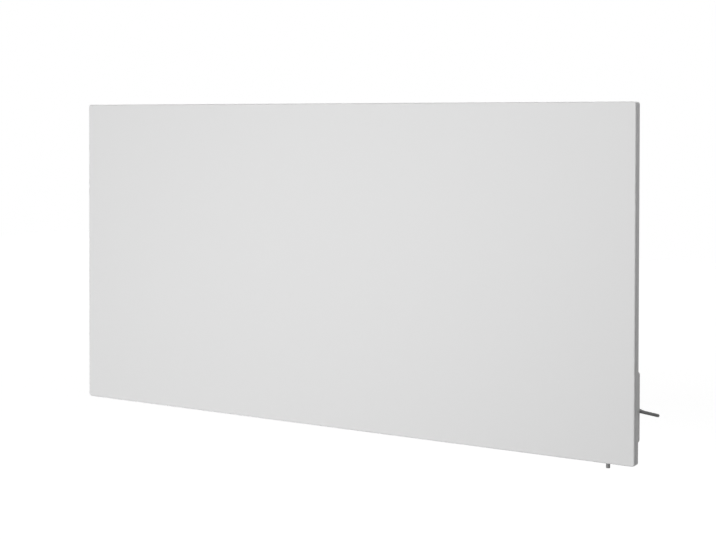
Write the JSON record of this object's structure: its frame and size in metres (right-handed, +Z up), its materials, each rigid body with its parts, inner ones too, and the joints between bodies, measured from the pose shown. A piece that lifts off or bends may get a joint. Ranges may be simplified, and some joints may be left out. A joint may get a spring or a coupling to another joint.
{
  "type": "infrared panel heater",
  "caption": "Flat wall-hung infrared panel heater: white sheet-steel panel 1200 x 600 x 20 mm with a box on its back, a push button in the bottom edge, a mains lead with plug, and a wall rail that it hangs on.",
  "frame": {"origin": "middle of the wall rail's back face, on the wall", "axes": "+X along the panel's width, to the right as seen from the room; +Y into the wall; +Z up"},
  "size_m": [1.2176, 0.088, 0.6092],
  "materials": {
    "white_enamel": "satin powder coat, white",
    "tray_enamel": "satin powder coat, white",
    "galvanised_steel": "zinc-plated sheet",
    "steel": "nickel-plated",
    "brass": "plain turned",
    "busbar": "rolled copper strip",
    "foil": "bright foil",
    "heating_film": "carbon-printed film",
    "insulation": "mineral wool board",
    "circuit_board": "solder mask",
    "light_grey_plastic": "fine moulded texture",
    "grey_plastic": "fine moulded texture",
    "black_plastic": "fine moulded texture",
    "blue_insulation": "satin",
    "brown_insulation": "satin",
    "grey_rubber": "matt, dark grey",
    "black_rubber": "matt black"
  },
  "bodies": {
    "wall_rail": {"wall_rail": "galvanised_steel"},
    "panel": {"front_panel": "white_enamel", "rear_tray": "tray_enamel", "heating_film": "heating_film", "busbar_left": "busbar", "busbar_right": "busbar", "reflector_foil": "foil", "insulation_board": "insulation", "thermal_cutout_left": "steel", "thermal_cutout_right": "steel", "lead_neutral": "blue_insulation", "lead_live": "brown_insulation", "button_sleeve": "black_plastic", "switch_body": "black_plastic", "control_box_cover": "light_grey_plastic", "circuit_board": "circuit_board", "terminal_block": "blue_insulation", "relay": "black_plastic", "earth_stud": "brass", "cover_screw_1": "steel", "cover_screw_2": "steel", "cover_screw_3": "steel", "cover_screw_4": "steel", "strain_relief": "grey_rubber", "cord_inner_end": "grey_rubber", "cord_clamp": "black_plastic", "cord_lead": "grey_rubber", "cord_coil": "grey_rubber", "cord_tie": "black_plastic", "cord_tail": "grey_rubber", "plug_boot": "grey_rubber", "plug_body": "grey_rubber", "plug_pin_1": "steel", "plug_pin_2": "steel", "hook_rail": "galvanised_steel", "wall_spacer_left": "black_plastic", "wall_spacer_right": "black_plastic", "spacer_pad_left": "black_rubber", "spacer_pad_right": "black_rubber"},
    "push_button": {"push_button": "grey_plastic"}
  },
  "joints": [
    {"name": "panel_lift", "type": "slide", "parent": "wall_rail", "child": "panel", "axis": [0, 0, 1], "range_m": [0, 0.014]},
    {"name": "button_press", "type": "slide", "parent": "panel", "child": "push_button", "axis": [0, 0, 1], "range_m": [0, 0.0025], "stiffness_N_per_m": 800, "springref_m": -0.001}
  ]
}
